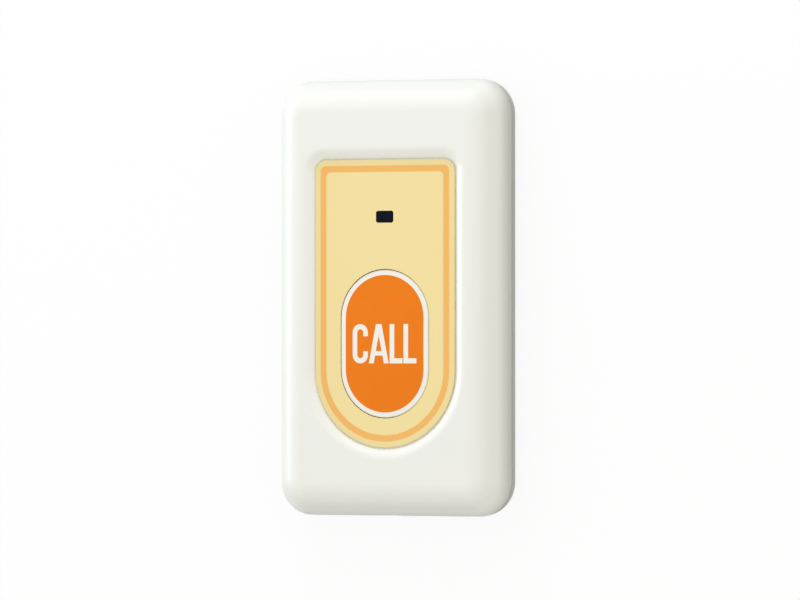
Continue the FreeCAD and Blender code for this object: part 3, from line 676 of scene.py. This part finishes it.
def keyOpening(grow):
    low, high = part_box("key_inlay")
    halfWidth = (high.x - low.x) / 2
    radius = halfWidth + labelShape["keyRim"] + labelShape["keyGap"] + grow
    straight = (high.y - low.y) / 2 - halfWidth
    middle = (low.y + high.y) / 2
    steps = labelShape["keySteps"]
    return (arcPoints((0, middle + straight), radius, 0, 180, steps)
            + arcPoints((0, middle - straight), radius, 180, 360, steps))


def windowOpening(grow):
    low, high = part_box("lamp_window")
    inset = labelShape["windowFlange"] - labelShape["windowGap"] - grow
    radius = labelShape["windowCorner"] + labelShape["windowGap"] + grow
    return roundedBox(low.x + inset, high.x - inset, low.y + inset, high.y - inset, radius,
                      labelShape["cornerSteps"])


def buildLabelFilm():
    low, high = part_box("face_film")
    edge = labelShape["edgeRound"]
    bulge = labelShape["edgeBulge"]
    stripeEdge = -labelShape["bandWidth"]
    fieldEdge = stripeEdge - labelShape["stripeWidth"]
    inks = list(printLooks)
    bandInk = inks.index("bandYellow")
    stripeInk = inks.index("stripeOrange")
    # growth and height of each loop up the cut edge of an opening; round the film the growth is reversed
    cutEdge = ((0, low.z), (0, high.z - edge), (bulge, high.z - bulge), (edge, high.z))
    mesh = bmesh.new()
    outside = [addLoop(mesh, labelOutline(-grow), height) for grow, height in cutEdge]
    outside += [addLoop(mesh, labelOutline(grow), high.z) for grow in (stripeEdge, fieldEdge)]
    for lower, upper, ink in zip(outside, outside[1:], [bandInk] * len(cutEdge) + [stripeInk]):
        joinLoops(mesh, lower, upper, ink)
    tops = [outside[-1]]
    bases = [outside[0]]
    for opening in (keyOpening, windowOpening):
        hole = [addLoop(mesh, opening(grow), height) for grow, height in cutEdge]
        for lower, upper in zip(hole, hole[1:]):
            joinLoops(mesh, lower, upper)
        tops.append(hole[-1])
        bases.append(hole[0])
    fillBetween(mesh, tops)
    fillBetween(mesh, bases)
    film = finishPiece(mesh, "labelFilm", inks, labelShape["sharpAngle"])
    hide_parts("face_film")
    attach(film, "case")


def revolve(mesh, profile, centre, steps):
    # closed profile of (radius, height) pairs turned round a vertical axis; radius 0 makes one point
    rings = []
    for radius, height in profile:
        points = arcPoints(centre, radius, 0, 360, steps)[:-1] if radius > 0 else [(centre.x, centre.y)]
        rings.append(addLoop(mesh, points, height))
    for first, second in zip(rings, rings[1:] + rings[:1]):
        if len(first) == 1 and len(second) == 1:
            continue
        for step in range(steps):
            after = (step + 1) % steps
            corners = (first[step % len(first)], first[after % len(first)],
                       second[after % len(second)], second[step % len(second)])
            mesh.faces.new(list(dict.fromkeys(corners)))


bootShape = dict(
    steps=96, sharpAngle=50,
    flangeInner=5.0 * mm, flangeHeight=0.5 * mm, flangeFoot=0.1 * mm, flangeShoulder=0.15 * mm,
    crownRadius=3.3 * mm, crownThickness=0.4 * mm, crownFall=0.1 * mm, crownShoulder=0.12 * mm,
    skin=0.4 * mm, waveDepth=0.12 * mm, waveSteps=8)


def buildKeyBoot():
    # silicone boot: flange on the board, a thin wavy cone, and the crown that carries the key
    low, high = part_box("key_boot")
    centre = (low + high) / 2
    outer = (high.x - low.x) / 2
    shape = bootShape
    flangeTop = low.z + shape["flangeHeight"]
    crownBase = high.z - shape["crownThickness"]
    coneTop = high.z - shape["crownFall"]
    foot = shape["flangeInner"] + shape["skin"]
    outside = [
        (shape["flangeInner"], low.z),
        (outer - shape["flangeFoot"], low.z), (outer, low.z + shape["flangeFoot"]),
        (outer, flangeTop - shape["flangeShoulder"]), (outer - shape["flangeShoulder"], flangeTop)]
    inside = []
    for step in range(shape["waveSteps"] + 1):
        along = step / shape["waveSteps"]
        swell = shape["waveDepth"] * math.sin(2 * math.pi * along) * math.sin(math.pi * along)
        radius = foot + (shape["crownRadius"] - foot) * along - swell
        outside.append((radius, flangeTop + (coneTop - flangeTop) * along))
        inside.append((radius - shape["skin"], flangeTop + (crownBase - flangeTop) * along))
    outside += [(shape["crownRadius"] - shape["crownShoulder"], high.z), (0, high.z)]
    mesh = bmesh.new()
    revolve(mesh, outside + [(0, crownBase)] + inside[::-1], centre, shape["steps"])
    boot = finishPiece(mesh, "keyBoot", ["bootSilicone"], shape["sharpAngle"])
    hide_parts("key_boot")
    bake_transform(boot)


domeShape = dict(steps=64, rings=14, thickness=0.1 * mm, sharpAngle=50)


def buildSwitchDome():
    # snap dome under the plunger
    low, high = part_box("switch_dome")
    centre = (low + high) / 2
    reach = (high.x - low.x) / 2
    rise = high.z - low.z
    radius = (reach ** 2 + rise ** 2) / (2 * rise)
    inner = radius - domeShape["thickness"]
    ball = high.z - radius      # height of the middle of the ball that the dome is cut from
    upper = []
    lower = []
    for ring in range(domeShape["rings"] + 1):
        out = reach * (1 - ring / domeShape["rings"])
        under = out * (1 - domeShape["thickness"] / reach)
        upper.append((out, ball + math.sqrt(radius ** 2 - out ** 2)))
        lower.append((under, max(ball + math.sqrt(inner ** 2 - under ** 2), low.z)))
    mesh = bmesh.new()
    revolve(mesh, upper + lower[::-1], centre, domeShape["steps"])
    dome = finishPiece(mesh, "switchDome", ["springSteel"], domeShape["sharpAngle"])
    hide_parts("switch_dome")
    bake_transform(dome)


buildLabelFilm()
buildKeyBoot()
buildSwitchDome()
print("label film, key boot and switch dome modelled")
